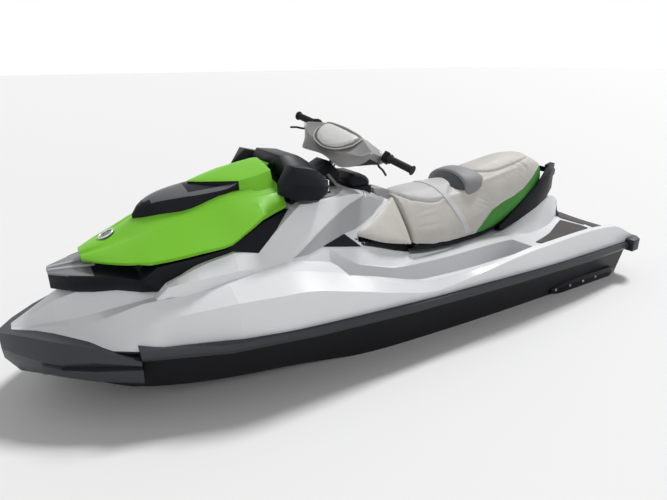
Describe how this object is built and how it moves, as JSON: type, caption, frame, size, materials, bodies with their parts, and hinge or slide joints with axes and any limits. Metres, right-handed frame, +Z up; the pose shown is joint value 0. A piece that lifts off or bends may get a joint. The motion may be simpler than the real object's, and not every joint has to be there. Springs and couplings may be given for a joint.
{
  "type": "personal watercraft",
  "caption": "Three-seat personal watercraft afloat, with moulded hull and deck, opening hood, lift-off seat, raked handlebars, mirrors and a jet pump with steering nozzle and reverse bucket.",
  "frame": {"origin": "on the centreline at mid-length, on the waterline", "axes": "+X to the bow, +Y to port, +Z up"},
  "size_m": [3.353, 1.192, 1.1693],
  "materials": {
    "gelcoat_white": "white gelcoat, polished",
    "hull_black": "black gelcoat, satin",
    "hood_green": "lime green painted moulding, gloss",
    "trim_black": "black moulded plastic, fine grain",
    "bumper_grey": "dark grey bumper rubber",
    "cover_grey": "mid grey moulded cover",
    "vinyl_grey": "light grey marine vinyl",
    "vinyl_green": "green marine vinyl",
    "vinyl_dark": "charcoal marine vinyl",
    "strap_web": "pale grey webbing",
    "mat_grey": "ribbed foam traction mat",
    "grip_rubber": "black rubber",
    "alloy": "cast alloy, satin",
    "steel": "stainless steel",
    "engine_alloy": "cast engine case",
    "mirror": "mirror glass",
    "gauge_glass": "dark instrument lens",
    "badge_metal": "blank round badge"
  },
  "bodies": {
    "craft": {"bow_bumper": "bumper_grey", "bumper_rail": "bumper_grey", "console_panels": "cover_grey", "dash": "trim_black", "deck": "gelcoat_white", "engine_block": "engine_alloy", "gauge": "gauge_glass", "glove_box": "trim_black", "grab_handle": "trim_black", "hood_skirt": "trim_black", "hull": "hull_black", "intake_grate": "alloy", "mirror_faces": "mirror", "mirror_pods": "trim_black", "pump_housing": "alloy", "ride_plate": "alloy", "side_pads": "vinyl_grey", "sponsons": "trim_black", "steering_neck": "cover_grey", "stern_bumpers": "bumper_grey", "storage_tub": "trim_black", "tow_eyes": "steel", "traction_mats": "mat_grey"},
    "steering": {"steering_stem": "steel", "handlebar": "steel", "grips": "grip_rubber", "bar_cover": "cover_grey", "bar_pad": "vinyl_grey", "levers": "trim_black", "switch_housings": "trim_black"},
    "nozzle": {"steering_nozzle": "alloy"},
    "bucket": {"reverse_bucket": "trim_black"},
    "rotor": {"impeller": "steel", "drive_shaft": "steel"},
    "hood": {"hood": "hood_green", "hood_scoops": "trim_black", "hood_badge": "badge_metal"},
    "glove_lid": {"glove_lid": "trim_black"},
    "seat": {"rider_seat": "vinyl_grey", "passenger_seat": "vinyl_grey", "seat_base": "trim_black", "lumbar_bolster": "vinyl_dark", "seat_side_panels": "vinyl_green", "seat_strap": "strap_web"}
  },
  "joints": [
    {"name": "steering_turn", "type": "hinge", "parent": "craft", "child": "steering", "pos_m": [0.215, 0, 0.79], "axis": [-0.682, 0, 0.7314], "range_deg": [-47, 3]},
    {"name": "nozzle_turn", "type": "hinge", "parent": "craft", "child": "nozzle", "pos_m": [-1.49, 0, -0.035], "axis": [0, 0, 1], "range_deg": [-2.41, 37.61]},
    {"name": "bucket_swing", "type": "hinge", "parent": "craft", "child": "bucket", "pos_m": [-1.395, 0, -0.035], "axis": [0, -1, 0], "range_deg": [0, 40]},
    {"name": "rotor_spin", "type": "hinge", "parent": "craft", "child": "rotor", "pos_m": [-1.2, 0, -0.035], "axis": [1, 0, 0], "continuous": true},
    {"name": "hood_lift", "type": "hinge", "parent": "craft", "child": "hood", "pos_m": [0.56, 0, 0.83], "axis": [0, -1, 0], "range_deg": [0, 55]},
    {"name": "glove_lid_lift", "type": "hinge", "parent": "craft", "child": "glove_lid", "pos_m": [0.03, 0, 0.692], "axis": [0, -1, 0], "range_deg": [0, 75]},
    {"name": "seat_lift", "type": "slide", "parent": "craft", "child": "seat", "axis": [0, 0, 1], "range_m": [0, 0.3]}
  ],
  "couplings": [
    {"joint": "nozzle_turn", "follows": "steering_turn", "ratio": -0.8}
  ]
}
